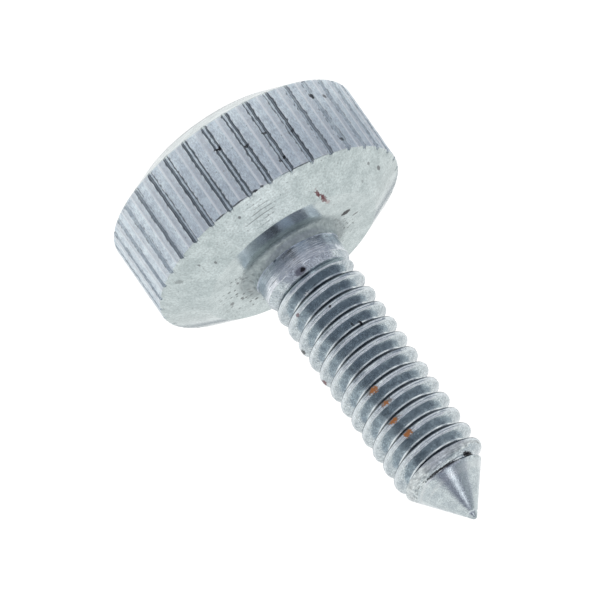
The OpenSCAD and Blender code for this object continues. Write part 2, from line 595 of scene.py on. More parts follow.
class Shader:
    """Short way to place and join the nodes of one tree."""

    def __init__(self, tree: NodeTree) -> None:
        """Takes the tree to fill and empties it."""
        self.tree = tree
        self.tree.nodes.clear()

    def node(self, kind: str, **settings: object) -> Node:
        """Adds a node.

        Args:
            kind: Node type, without the ShaderNode prefix.
            settings: Properties of the node.

        Returns:
            The new node.
        """
        made = self.tree.nodes.new(kind if kind.startswith("NodeGroup") else "ShaderNode" + kind)
        for name, value in settings.items():
            setattr(made, name, value)
        return made

    def join(self, value: object, socket: NodeSocket) -> None:
        """Feeds a socket from another socket or sets its own value.

        Args:
            value: Output socket, number, colour or vector.
            socket: Input that receives it.
        """
        if isinstance(value, NodeSocket):
            self.tree.links.new(value, socket)
        elif isinstance(value, tuple) and socket.type == "RGBA":
            socket.default_value = (*value, 1.0)
        else:
            socket.default_value = value

    def math(self, operation: str, a: object, b: object = 0.0, clamp: bool = False) -> NodeSocket:
        """Works out one number from two.

        Args:
            operation: Name of the operation.
            a: First number or socket.
            b: Second number or socket.
            clamp: True to keep the result from 0 to 1.

        Returns:
            The result's socket.
        """
        made = self.node("Math", operation=operation, use_clamp=clamp)
        self.join(a, made.inputs[0])
        self.join(b, made.inputs[1])
        return made.outputs[0]

    def product(self, *values: object) -> NodeSocket:
        """Multiplies several values.

        Args:
            values: Two or more numbers or sockets.

        Returns:
            The result's socket.
        """
        result = values[0]
        for value in values[1:]:
            result = self.math("MULTIPLY", result, value)
        return result

    def vector(self, operation: str, a: object, b: object = (0.0, 0.0, 0.0)) -> NodeSocket:
        """Works out one vector from two.

        Args:
            operation: Name of the operation.
            a: First vector or socket.
            b: Second vector or socket.

        Returns:
            The result's socket.
        """
        made = self.node("VectorMath", operation=operation)
        self.join(a, made.inputs[0])
        self.join(b, made.inputs[1])
        return made.outputs["Value" if operation in ("LENGTH", "DOT_PRODUCT") else "Vector"]

    def scaled(self, place: object, size: object) -> NodeSocket:
        """Divides coordinates by one size.

        Args:
            place: Coordinates.
            size: Number or socket to divide by.

        Returns:
            The new coordinates' socket.
        """
        made = self.node("VectorMath", operation="SCALE")
        self.join(place, made.inputs[0])
        self.join(self.math("DIVIDE", 1.0, size), made.inputs["Scale"])
        return made.outputs[0]

    def reach(self, place: object) -> NodeSocket:
        """Distance of a place from the screw's axis."""
        return self.vector("LENGTH", self.vector("MULTIPLY", place, (1.0, 1.0, 0.0)))

    def step(
        self, value: object, low: object, high: object, start: float = 0.0, end: float = 1.0
    ) -> NodeSocket:
        """Maps a value smoothly from one range to another.

        Args:
            value: Number to map.
            low: Value that gives the start.
            high: Value that gives the end.
            start: Result at the low value.
            end: Result at the high value.

        Returns:
            The result's socket.
        """
        made = self.node("MapRange", interpolation_type="SMOOTHSTEP")
        names = ("Value", "From Min", "From Max", "To Min", "To Max")
        for name, number in zip(names, (value, low, high, start, end)):
            self.join(number, made.inputs[name])
        return made.outputs["Result"]

    def within(self, value: object, span: Span) -> NodeSocket:
        """Finds how far a value lies inside a span with soft ends.

        Args:
            value: Number to test.
            span: Where the result starts to rise, is 1, starts to fall and is 0 again.

        Returns:
            The result's socket, from 0 to 1.
        """
        start, full, fading, end = span
        return self.product(self.step(value, start, full), self.step(value, end, fading))

    def azimuth(self, x: NodeSocket, y: NodeSocket) -> NodeSocket:
        """Angle about the axis from the front, towards the -X side, in degrees.

        Args:
            x: First level coordinate.
            y: Second level coordinate.

        Returns:
            The angle's socket.
        """
        angle = self.math("ARCTAN2", self.product(x, -1.0), self.product(y, -1.0))
        return self.product(angle, 180.0 / math.pi)

    def blend(self, share: object, a: object, b: object, mode: str = "MIX") -> NodeSocket:
        """Mixes two colours.

        Args:
            share: How much of the second colour.
            a: First colour or socket.
            b: Second colour or socket.
            mode: How they mix.

        Returns:
            The colour's socket.
        """
        made = self.node("Mix", data_type="RGBA", blend_type=mode)
        self.join(share, made.inputs[0])
        self.join(a, made.inputs[6])
        self.join(b, made.inputs[7])
        return made.outputs[2]

    def noise(
        self, place: object, scale: float = 1.0, detail: float = 2.0, roughness: float = 0.5
    ) -> NodeSocket:
        """Places smooth noise.

        Args:
            place: Coordinates.
            scale: How fine the noise is.
            detail: Number of finer layers.
            roughness: Strength of the finer layers.

        Returns:
            A value round 0.5.
        """
        made = self.node("TexNoise")
        self.join(place, made.inputs["Vector"])
        for name, number in (("Scale", scale), ("Detail", detail), ("Roughness", roughness)):
            self.join(number, made.inputs[name])
        return made.outputs[0]


class Effect(Enum):
    """Shared effects, each built once as a node group."""

    TURNING = "turning_marks"
    MOTTLE = "mottled_plating"
    GRAIN = "surface_grain"
    SPECKS = "dark_specks"
    MARK = "single_mark"
    ARCS = "tool_arcs"

    def place(self, shader: Shader, output: str, **values: object) -> NodeSocket:
        """Places the effect in a material.

        Args:
            shader: Material's tree.
            output: Name of the output wanted.
            values: Inputs by name.

        Returns:
            The output's socket.
        """
        made = shader.node("Group", node_tree=EFFECT_BUILDERS[self]())
        for name, value in values.items():
            shader.join(value, made.inputs[name])
        return made.outputs[output]


def new_group(
    effect: Effect, inputs: dict[str, str], outputs: tuple[str, ...]
) -> tuple[Shader, Node, Node] | None:
    """Starts a node group, or says that it is there already.

    Args:
        effect: Effect that the group makes.
        inputs: Kind of each input by name.
        outputs: Names of the outputs, all plain values.

    Returns:
        The group's tree with its input and output nodes, or None if it exists.
    """
    if effect.value in bpy.data.node_groups:
        return None
    tree = bpy.data.node_groups.new(effect.value, "ShaderNodeTree")
    for name, kind in inputs.items():
        tree.interface.new_socket(name=name, in_out="INPUT", socket_type="NodeSocket" + kind)
    for name in outputs:
        tree.interface.new_socket(name=name, in_out="OUTPUT", socket_type="NodeSocketFloat")
    shader = Shader(tree)
    return shader, shader.node("NodeGroupInput"), shader.node("NodeGroupOutput")


def turning_group() -> NodeTree:
    """Fine rings that a lathe tool leaves, on a flat face or along a shaft.

    Returns:
        The node group.
    """
    inputs = {"Place": "Vector", "Flat": "Float", "Spacing": "Float"}
    made = new_group(Effect.TURNING, inputs, ("Height", "Lines"))
    if made:
        shader, start, end = made
        place, flat = start.outputs["Place"], start.outputs["Flat"]
        level = shader.vector("MULTIPLY", place, (1.0, 1.0, 0.0))
        radius = shader.vector("LENGTH", level)
        height = shader.vector("DOT_PRODUCT", place, (0.0, 0.0, 1.0))
        upright = shader.math("SUBTRACT", 1.0, flat)
        along = shader.math("ADD", shader.product(radius, flat), shader.product(height, upright))
        turned = shader.node("SeparateXYZ")
        shader.join(shader.vector("NORMALIZE", level), turned.inputs[0])
        wound = shader.node("CombineXYZ")
        shader.join(shader.math("DIVIDE", along, start.outputs["Spacing"]), wound.inputs[0])
        for side in (0, 1):
            shader.join(shader.product(turned.outputs[side], 1.6), wound.inputs[side + 1])
        value = shader.noise(wound.outputs[0], 1.0, 3.0, 0.6)
        shader.join(value, end.inputs["Height"])
        shader.join(shader.step(value, 0.62, 0.7), end.inputs["Lines"])
    return bpy.data.node_groups[Effect.TURNING.value]


def mottle_group() -> NodeTree:
    """Uneven plating: soft patches with broken edges.

    Returns:
        The node group.
    """
    inputs = {"Place": "Vector", "Size": "Float", "Low": "Float", "High": "Float"}
    made = new_group(Effect.MOTTLE, inputs, ("Mask",))
    if made:
        shader, start, end = made
        value = shader.noise(shader.scaled(start.outputs["Place"], start.outputs["Size"]), 1.0, 4.0, 0.62)
        mask = shader.step(value, start.outputs["Low"], start.outputs["High"])
        shader.join(mask, end.inputs["Mask"])
    return bpy.data.node_groups[Effect.MOTTLE.value]


def grain_group() -> NodeTree:
    """Grain that can be longer one way than another.

    Returns:
        The node group.
    """
    made = new_group(Effect.GRAIN, {"Place": "Vector", "Size": "Vector"}, ("Height",))
    if made:
        shader, start, end = made
        scaled = shader.vector("DIVIDE", start.outputs["Place"], start.outputs["Size"])
        shader.join(shader.noise(scaled, 1.0, 2.0, 0.55), end.inputs["Height"])
    return bpy.data.node_groups[Effect.GRAIN.value]


def specks_group() -> NodeTree:
    """Small scattered specks.

    Returns:
        The node group.
    """
    kinds = {"Place": "Vector", "Spacing": "Float", "Size": "Float", "Share": "Float"}
    made = new_group(Effect.SPECKS, kinds, ("Mask",))
    if made:
        shader, start, end = made
        cells = shader.node("TexVoronoi", feature="F1")
        spaced = shader.scaled(start.outputs["Place"], start.outputs["Spacing"])
        shader.join(spaced, cells.inputs["Vector"])
        shader.join(1.0, cells.inputs["Scale"])
        size = start.outputs["Size"]
        inside = shader.step(cells.outputs["Distance"], size, shader.product(size, 0.5))
        tint = shader.node("SeparateColor")
        shader.join(cells.outputs["Color"], tint.inputs[0])
        kept = shader.math("LESS_THAN", tint.outputs[0], start.outputs["Share"])
        shader.join(shader.product(inside, kept), end.inputs["Mask"])
    return bpy.data.node_groups[Effect.SPECKS.value]


def mark_group() -> NodeTree:
    """One mark of its own place and size, with an uneven edge.

    Returns:
        The node group.
    """
    kinds = {"Place": "Vector", "Centre": "Vector", "Size": "Vector", "Ragged": "Float"}
    made = new_group(Effect.MARK, kinds, ("Mask",))
    if made:
        shader, start, end = made
        offset = shader.vector("SUBTRACT", start.outputs["Place"], start.outputs["Centre"])
        reach = shader.vector("LENGTH", shader.vector("DIVIDE", offset, start.outputs["Size"]))
        rough = shader.noise(start.outputs["Place"], 9.0, 2.0)
        uneven = shader.product(shader.math("SUBTRACT", rough, 0.5), start.outputs["Ragged"])
        shader.join(shader.step(shader.math("ADD", reach, uneven), 1.1, 0.7), end.inputs["Mask"])
    return bpy.data.node_groups[Effect.MARK.value]


def arcs_group() -> NodeTree:
    """Thin dark arcs round the axis, where a tool rubbed.

    Returns:
        The node group.
    """
    made = new_group(Effect.ARCS, {"Place": "Vector", "Spacing": "Float"}, ("Lines",))
    if made:
        shader, start, end = made
        place = start.outputs["Place"]
        turns = shader.math("DIVIDE", shader.reach(place), start.outputs["Spacing"])
        wander = shader.product(shader.noise(place, 0.8, 1.0), 3.0)
        wave = shader.math("SINE", shader.math("ADD", shader.product(turns, 2.0 * math.pi), wander))
        long_way = shader.vector("MULTIPLY", place, (0.7, 4.0, 4.0))
        broken = shader.step(shader.noise(long_way, 1.0, 2.0), 0.42, 0.52)
        shader.join(shader.product(shader.step(wave, 0.8, 0.97), broken), end.inputs["Lines"])
    return bpy.data.node_groups[Effect.ARCS.value]


EFFECT_BUILDERS = {
    Effect.TURNING: turning_group,
    Effect.MOTTLE: mottle_group,
    Effect.GRAIN: grain_group,
    Effect.SPECKS: specks_group,
    Effect.MARK: mark_group,
    Effect.ARCS: arcs_group,
}


@dataclass(frozen=True)
class Mark:
    """One mark of any kind: nicks, rust and scratches, and also painted shade, painted highlights and painted
    dark reflections.
    """

    name: str
    centre: Place
    size: Place
    tint: Colour
    strength: float = 1.0
    metal: float = 1.0
    ragged: float = 1.2


# The near-black below also paints dark reflections of the head's edge and of the camera, and the soot grey
# part of the edge's dark reflection.
NICK_AND_REFLECTION: Colour = (0.03, 0.03, 0.035)
SOOT_AND_REFLECTION: Colour = (0.12, 0.12, 0.13)
RUST: Colour = (0.46, 0.17, 0.045)
SCALE: Colour = (0.14, 0.09, 0.06)
STAIN: Colour = (0.16, 0.06, 0.07)
PINK: Colour = (0.42, 0.3, 0.3)


MOTTLE_LIMITS = {"Low": 0.38, "High": 0.64}
FINE_LIMITS = {"Low": 0.3, "High": 0.72}
FINE_SCALE = 0.22
CROWD = {"Spacing": 0.38, "Size": 0.44, "Share": 0.6}
CROWD_SOFT = (1.3, 0.7)
CROWD_STRENGTH = 0.85
ARC_SPACING = 0.31
ARC_STRENGTH = 0.8
FOOT_SOFT = (0.5, 0.3)
FOOT_LINES = 0.6
FOOT_MATT = 0.24
STAIN_MATT = 0.35
PIT_DEPTH = 0.006
RAGGED = 1.5
# Specular tint inside the painted shade, so that its reflections are dimmed too.
SHADE_SPECULAR_TINT = (0.2, 0.23, 0.26)


@dataclass(frozen=True)
class Masks:
    """Places and shares that the parts of one finish have in common."""

    place: NodeSocket
    share: NodeSocket
    fine: NodeSocket
    specks: NodeSocket
    lines: NodeSocket
    foot: NodeSocket
    painted_shade: NodeSocket
    worn_and_highlight: NodeSocket


@dataclass(frozen=True)
class Finish:
    """How one zone of the plated skin looks."""

    name: str
    pale: Colour
    dull: Colour
    rough: tuple[float, float]
    mottle_size: float
    grain_size: Place
    grain_depth: float
    ring_flat: float
    ring_spacing: float
    ring_depth: float
    metal: float = 1.0
    speck_share: float = 0.2
    speck_spacing: float = 0.5
    speck_size: float = 0.1
    speck_strength: float = 0.5
    # These set the painted shade's tint, strength and strength in reflections, and the tint, strength and
    # mattness of the wear that also carries painted highlights.
    painted_shade_tint: Colour = (0.2, 0.21, 0.24)
    worn_and_highlight_tint: Colour = (0.82, 0.84, 0.85)
    worn_and_highlight_share: float = 0.4
    worn_and_highlight_matt: float = 0.0
    painted_shade_share: float = 0.85
    painted_shade_off_camera: float = 1.0
    line_share: float = 0.0
    tone: tuple[float, float] = (0.86, 1.1)
    foot_r: float = 0.0
    foot_shade_tint: Colour = (0.27, 0.315, 0.33)
    crowd_r: float = 0.0
    crowd_place: Place = (2.2, 0.6, 8.9)
    crowd_size: Place = (6.8, 3.4, 2.0)
    arc_place: Place = (0.0, 0.0, -99.0)
    arc_size: Place = (1.0, 1.0, 1.0)
    dusty_tint: Colour = (0.5, 0.49, 0.5)
    marks: tuple[Mark, ...] = ()

    def material(self) -> Material:
        """Makes the material.

        Returns:
            The material, ready for the mesh.
        """
        made = bpy.data.materials.new(self.name)
        made.use_nodes = True
        shader = Shader(made.node_tree)
        masks = self.masks(shader)
        colour = self.foot(shader, masks, self.plating(shader, masks))
        rough = shader.step(masks.share, 0.0, 1.0, self.rough[1], self.rough[0])
        rough = shader.math("ADD", rough, shader.product(masks.foot, FOOT_MATT))
        matt = shader.product(masks.worn_and_highlight, self.worn_and_highlight_matt)
        metal = shader.math("SUBTRACT", self.metal, matt, clamp=True)
        for mark in self.marks:
            mask = Effect.MARK.place(
                shader, "Mask", Place=masks.place, Centre=mark.centre, Size=mark.size, Ragged=mark.ragged
            )
            mask.node.label = mark.name
            cover = shader.product(mask, mark.strength)
            colour = shader.blend(cover, colour, mark.tint)
            if mark.metal < 1.0:
                lost = shader.product(cover, 1.0 - mark.metal)
                metal = shader.math("SUBTRACT", metal, lost, clamp=True)
                rough = shader.math("ADD", rough, shader.product(cover, STAIN_MATT), clamp=True)
        surface = shader.node("BsdfPrincipled")
        shader.join(colour, surface.inputs["Base Color"])
        shader.join(rough, surface.inputs["Roughness"])
        shader.join(metal, surface.inputs["Metallic"])
        # Painted shade also dims the specular tint.
        shaded_specular = shader.blend(masks.painted_shade, (1.0, 1.0, 1.0), SHADE_SPECULAR_TINT)
        shader.join(shaded_specular, surface.inputs["Specular Tint"])
        shader.join(self.bump(shader, masks), surface.inputs["Normal"])
        output = shader.node("OutputMaterial")
        shader.join(surface.outputs[0], output.inputs["Surface"])
        return made

    def masks(self, shader: Shader) -> Masks:
        """Works out what the parts of the finish share.

        Args:
            shader: Material's tree.

        Returns:
            The sockets by name.
        """
        place = self.millimetres(shader)
        mottle, fine = (
            Effect.MOTTLE.place(shader, "Mask", Place=place, Size=size, **limits)
            for size, limits in (
                (self.mottle_size, MOTTLE_LIMITS), (self.mottle_size * FINE_SCALE, FINE_LIMITS)
            )
        )
        specks = Effect.SPECKS.place(
            shader, "Mask", Place=place,
            Spacing=self.speck_spacing, Size=self.speck_size, Share=self.speck_share,
        )
        foot_out, foot_in = self.foot_r + FOOT_SOFT[0], self.foot_r - FOOT_SOFT[1]
        # The painted shade is full for camera rays and only partly there in reflections, by the finish's own
        # share.
        by_camera = shader.node("LightPath").outputs["Is Camera Ray"]
        direct = shader.step(by_camera, 0.0, 1.0, self.painted_shade_off_camera, 1.0)
        return Masks(
            place=place,
            share=shader.math("ADD", shader.product(mottle, 0.6), shader.product(fine, 0.4)),
            fine=fine,
            specks=specks,
            lines=self.turning(shader, "Lines", place),
            foot=shader.step(shader.reach(place), foot_out, foot_in),
            painted_shade=shader.product(self.attribute(shader, PAINTED_SHADE), direct),
            worn_and_highlight=self.attribute(shader, WORN_AND_HIGHLIGHT),
        )

    def plating(self, shader: Shader, masks: Masks) -> NodeSocket:
        """Colour of the plating with its wear, dust, soot lines, specks, painted highlights and painted
        shade.

        Args:
            shader: Material's tree.
            masks: What the parts of the finish share.

        Returns:
            The colour's socket.
        """
        colour = shader.blend(masks.share, self.dull, self.pale)
        grain = Effect.GRAIN.place(shader, "Height", Place=masks.place, Size=self.grain_size)
        colour = shader.blend(1.0, colour, shader.step(grain, 0.3, 0.7, *self.tone), "MULTIPLY")
        dust = shader.product(self.attribute(shader, DUSTY), shader.step(masks.fine, 0.1, 0.9, 0.25, 0.85))
        for mask, strength, tint in (
            (masks.lines, self.line_share, SOOT_AND_REFLECTION),
            (dust, 1.0, self.dusty_tint),
            # Wear mixed with painted highlights.
            (masks.worn_and_highlight, self.worn_and_highlight_share, self.worn_and_highlight_tint),
            # Painted shade in the grooves and on the flank facing the head.
            (masks.painted_shade, self.painted_shade_share, self.painted_shade_tint),
            (masks.specks, self.speck_strength, SOOT_AND_REFLECTION),
            (self.crowd(shader, masks.place), CROWD_STRENGTH, NICK_AND_REFLECTION),
        ):
            colour = shader.blend(shader.product(mask, strength), colour, tint)
        return colour

    def crowd(self, shader: Shader, place: NodeSocket) -> NodeSocket:
        """Mask of the close nicks in one patch.

        Args:
            shader: Material's tree.
            place: Coordinates in millimetres.

        Returns:
            The mask's socket.
        """
        nicks = Effect.SPECKS.place(shader, "Mask", Place=place, **CROWD)
        outer, inner = self.crowd_r + CROWD_SOFT[0], self.crowd_r - CROWD_SOFT[1]
        patch = Effect.MARK.place(
            shader, "Mask", Place=place, Centre=self.crowd_place, Size=self.crowd_size, Ragged=RAGGED
        )
        return shader.product(nicks, shader.step(shader.reach(place), outer, inner), patch)

    def foot(self, shader: Shader, masks: Masks, colour: NodeSocket) -> NodeSocket:
        """Adds painted shade as a darker, mottled ring round the neck's foot, and the tool arcs.

        Args:
            shader: Material's tree.
            masks: What the parts of the finish share.
            colour: Colour below.

        Returns:
            The new colour's socket.
        """
        # Painted shade round the neck's foot, broken by the fine mottle.
        cover = shader.product(masks.foot, shader.step(masks.fine, 0.0, 1.0, 0.85, 0.55))
        colour = shader.blend(cover, colour, self.foot_shade_tint)
        colour = shader.blend(shader.product(masks.lines, masks.foot, FOOT_LINES), colour, SOOT_AND_REFLECTION)
        arcs = Effect.ARCS.place(shader, "Lines", Place=masks.place, Spacing=ARC_SPACING)
        near = Effect.MARK.place(
            shader, "Mask", Place=masks.place, Centre=self.arc_place, Size=self.arc_size, Ragged=RAGGED
        )
        return shader.blend(shader.product(arcs, near, ARC_STRENGTH), colour, SOOT_AND_REFLECTION)

    def turning(self, shader: Shader, output: str, place: NodeSocket) -> NodeSocket:
        """Places the finish's own turning marks.

        Args:
            shader: Material's tree.
            output: Name of the output wanted.
            place: Coordinates in millimetres.

        Returns:
            The output's socket.
        """
        return Effect.TURNING.place(
            shader, output, Place=place, Flat=self.ring_flat, Spacing=self.ring_spacing
        )

    def millimetres(self, shader: Shader) -> NodeSocket:
        """Works out the object coordinates in millimetres.

        Args:
            shader: Material's tree.

        Returns:
            The coordinates' socket.
        """
        coords = shader.node("TexCoord")
        mapping = shader.node("Mapping")
        mapping.inputs["Scale"].default_value = (1.0 / MM,) * 3
        shader.join(coords.outputs["Object"], mapping.inputs["Vector"])
        return mapping.outputs[0]

    def attribute(self, shader: Shader, name: str) -> NodeSocket:
        """Value of one of the mesh's attributes."""
        return shader.node("Attribute", attribute_name=name).outputs["Fac"]

    def bump(self, shader: Shader, masks: Masks) -> NodeSocket:
        """Fine relief of grain, rings and pits.

        Args:
            shader: Material's tree.
            masks: What the parts of the finish share.

        Returns:
            The normal's socket.
        """
        grain = Effect.GRAIN.place(shader, "Height", Place=masks.place, Size=self.grain_size)
        rings = self.turning(shader, "Height", masks.place)
        height = shader.math(
            "ADD", shader.product(grain, self.grain_depth), shader.product(rings, self.ring_depth)
        )
        height = shader.math("SUBTRACT", height, shader.product(masks.specks, PIT_DEPTH))
        relief = shader.node("Bump")
        shader.join(1.0, relief.inputs["Strength"])
        shader.join(MM, relief.inputs["Distance"])
        shader.join(height, relief.inputs["Height"])
        return relief.outputs["Normal"]


# Painted dark reflection along the rounded edge between the band and the under bevel, broken into dashes at
# the front.
EDGE_REFLECTION_MARKS = (
    Mark("edge_reflection_a", (2.4, -8.75, 7.22), (0.44, 1.0, 0.06), NICK_AND_REFLECTION, 0.8),
    Mark("edge_reflection_b", (0.95, -9.02, 7.22), (0.46, 1.0, 0.055), NICK_AND_REFLECTION, 0.8),
    Mark("edge_reflection_c", (-0.42, -9.07, 7.23), (0.2, 1.0, 0.08), NICK_AND_REFLECTION, 0.9),
    Mark("edge_reflection_d", (-0.95, -9.03, 7.22), (0.14, 1.0, 0.08), NICK_AND_REFLECTION, 0.8),
)
FACE_MARKS = (
    Mark("flat_dash", (-4.42, -0.95, 8.82), (0.4, 0.26, 0.5), NICK_AND_REFLECTION, 1.0),
    Mark("flat_dash_end", (-4.9, 0.15, 8.82), (0.26, 0.1, 0.5), SOOT_AND_REFLECTION, 0.8),
    Mark("rim_scratch_top", (-3.62, -5.9, 8.82), (0.14, 0.55, 0.5), STAIN, 0.95, ragged=2.2),
    Mark("rim_scratch_mid", (-3.75, -5.0, 8.82), (0.18, 0.6, 0.5), STAIN, 0.95, ragged=2.2),
    Mark("rim_ring", (-3.86, -4.25, 8.82), (0.17, 0.3, 0.5), PINK, 0.6),
    Mark("left_speck_a", (4.94, 0.86, 8.82), (0.16, 0.3, 0.5), SOOT_AND_REFLECTION, 0.7),
    Mark("left_speck_b", (3.9, -1.6, 8.82), (0.1, 0.2, 0.5), SOOT_AND_REFLECTION, 0.7),
    Mark("bevel_speck_a", (1.38, -8.11, 7.74), (0.12, 0.1, 0.5), SOOT_AND_REFLECTION, 0.8),
    Mark("bevel_speck_b", (4.29, -5.67, 8.39), (0.1, 0.14, 0.5), SOOT_AND_REFLECTION, 0.7),
    Mark("bevel_speck_c", (5.26, -5.83, 7.96), (0.09, 0.12, 0.5), SOOT_AND_REFLECTION, 0.6),
    Mark("bevel_speck_d", (-7.81, -1.69, 7.88), (0.13, 0.3, 0.5), SOOT_AND_REFLECTION, 0.8),
    Mark("bevel_speck_e", (-6.45, -2.77, 8.44), (0.1, 0.2, 0.5), SOOT_AND_REFLECTION, 0.4),
    Mark("bevel_speck_f", (-7.42, -3.18, 7.83), (0.1, 0.2, 0.5), SOOT_AND_REFLECTION, 0.6),
    Mark("left_rub", (6.94, -4.68, 7.66), (0.3, 0.22, 0.5), SOOT_AND_REFLECTION, 0.4, ragged=2.0),
    # Painted dark reflection along the same edge, further round.
    Mark("edge_reflection_line", (-3.7, -8.25, 7.26), (1.0, 0.6, 0.035), SOOT_AND_REFLECTION, 0.7, ragged=2.2),
)
KNURL_MARKS = (
    Mark("groove_nick", (0.08, -9.0, 3.36), (0.26, 1.0, 0.07), NICK_AND_REFLECTION, 1.0),
    Mark("groove_blob", (-0.1, -9.0, 3.4), (0.12, 1.0, 0.15), NICK_AND_REFLECTION, 1.0),
    Mark("lip_dot_a", (-1.6, -8.94, 4.25), (0.13, 1.0, 0.13), NICK_AND_REFLECTION, 0.9),
    Mark("lip_dot_b", (-3.02, -8.56, 4.07), (0.16, 1.0, 0.1), NICK_AND_REFLECTION, 0.8),
    Mark("lip_dot_c", (-3.18, -8.5, 6.2), (0.12, 1.0, 0.12), NICK_AND_REFLECTION, 0.9),
    Mark("lip_dot_d", (-2.86, -8.62, 6.35), (0.12, 1.0, 0.12), NICK_AND_REFLECTION, 0.8),
    Mark("lip_dot_e", (-4.57, -7.84, 4.76), (0.12, 1.0, 0.14), NICK_AND_REFLECTION, 0.7),
    Mark("pit_a", (-6.9, -5.9, 2.78), (0.12, 1.0, 0.24), NICK_AND_REFLECTION, 0.9),
    Mark("pit_b", (-7.58, -4.99, 2.98), (0.1, 1.0, 0.15), NICK_AND_REFLECTION, 0.7),
    Mark("pit_c", (-6.9, -5.9, 6.39), (0.12, 1.0, 0.18), NICK_AND_REFLECTION, 0.7),
)
NECK_MARKS = (
    Mark("neck_nick", (1.12, -2.86, 9.5), (0.14, 0.6, 0.12), NICK_AND_REFLECTION, 0.9),
    Mark("foot_nick_left", (3.06, 0.3, 9.5), (0.2, 0.3, 0.14), NICK_AND_REFLECTION, 0.8),
    Mark("foot_nick_right", (-3.06, 0.3, 9.5), (0.2, 0.3, 0.14), NICK_AND_REFLECTION, 0.8),
    # Painted dark reflections on the mirror-like neck: a band near its foot, a soft patch in front and darker
    # strips at both sides.
    Mark("neck_foot_reflection", (0.0, 0.0, 9.82), (9.0, 9.0, 0.46), (0.34, 0.41, 0.48), 0.5, ragged=0.5),
    Mark("neck_shade", (1.3, -2.8, 9.9), (0.7, 1.0, 0.5), (0.3, 0.31, 0.4), 0.25, ragged=1.6),
    Mark("neck_low_reflection_left", (2.75, -1.25, 10.1), (0.36, 0.9, 0.5), (0.24, 0.29, 0.34), 0.6),
    Mark("neck_low_reflection_right", (-2.8, -1.2, 10.05), (0.36, 0.9, 0.5), (0.2, 0.24, 0.3), 0.55),
    Mark("neck_side_reflection_left", (3.02, -0.5, 9.9), (0.3, 0.9, 0.6), (0.26, 0.32, 0.4), 0.75, ragged=1.2),
    Mark("neck_side_reflection_right", (-3.02, -0.5, 9.8), (0.3, 0.9, 0.5), (0.2, 0.25, 0.32), 0.8, ragged=1.2),
)
THREAD_MARKS = (
    Mark("rust_a_rim", (0.76, -2.96, 20.7), (0.42, 0.9, 0.2), SCALE, 0.8, 0.4, 2.6),
    Mark("rust_a", (0.64, -2.96, 20.74), (0.3, 0.9, 0.2), RUST, 0.95, 0.15, 2.4),
    Mark("rust_b_rim", (0.42, -3.02, 21.93), (0.42, 0.9, 0.18), SCALE, 0.8, 0.4, 2.6),
    Mark("rust_b", (0.5, -3.02, 21.95), (0.26, 0.9, 0.15), RUST, 0.9, 0.15, 2.4),
    Mark("rust_c_rim", (0.7, -2.96, 23.24), (0.44, 0.9, 0.2), SCALE, 0.8, 0.4, 2.6),
    Mark("rust_c", (0.72, -2.96, 23.26), (0.28, 0.9, 0.16), RUST, 0.95, 0.15, 2.4),
    Mark("rust_d_rim", (0.42, -3.02, 24.5), (0.36, 0.9, 0.2), SCALE, 0.8, 0.4, 2.6),
    Mark("rust_d", (0.46, -3.02, 24.54), (0.32, 0.9, 0.2), RUST, 0.95, 0.15, 2.4),
    Mark("end_line", (0.0, -2.3, 27.58), (1.5, 1.0, 0.075), NICK_AND_REFLECTION, 0.95, ragged=1.6),
    Mark("end_hook", (-1.98, -1.4, 27.4), (0.34, 0.9, 0.15), NICK_AND_REFLECTION, 1.0),
    Mark("side_nick_a", (3.03, -0.15, 14.75), (0.3, 0.5, 0.15), NICK_AND_REFLECTION, 0.9),
    Mark("side_nick_b", (3.03, -0.15, 17.3), (0.3, 0.5, 0.15), STAIN, 0.9),
    # Painted reflection of the camera on the front of the thread's start: a dark patch with a black middle.
    Mark("neck_camera_reflection", (0.116, -3.05, 11.15), (0.46, 0.8, 0.28), (0.13, 0.13, 0.17), 0.8, ragged=0.5),
    Mark("neck_lens_reflection", (-0.045, -3.05, 11.13), (0.22, 0.8, 0.14), NICK_AND_REFLECTION, 1.0, ragged=0.9),
    # Painted highlight on a crest, and a painted dark streak beside it where the crest reflects the camera's
    # lens.
    Mark("crest_highlight", (0.72, -2.95, 12.42), (0.55, 0.8, 0.16), (1.0, 1.0, 1.0), 0.9, 0.4, 1.0),
    Mark("crest_lens_reflection", (-0.11, -3.05, 12.41), (0.46, 0.8, 0.1), NICK_AND_REFLECTION, 0.9, ragged=0.8),
    Mark("red_speck", (1.9, -2.39, 13.29), (0.14, 0.6, 0.12), STAIN, 0.7, 0.4),
    Mark("black_speck_a", (-0.14, -3.05, 14.34), (0.12, 0.6, 0.1), NICK_AND_REFLECTION, 0.9),
    Mark("black_speck_b", (-1.15, -2.3, 16.08), (0.1, 1.2, 0.12), NICK_AND_REFLECTION, 1.0),
    Mark("black_speck_c", (-0.65, -2.9, 16.0), (0.12, 0.8, 0.12), NICK_AND_REFLECTION, 0.9),
)

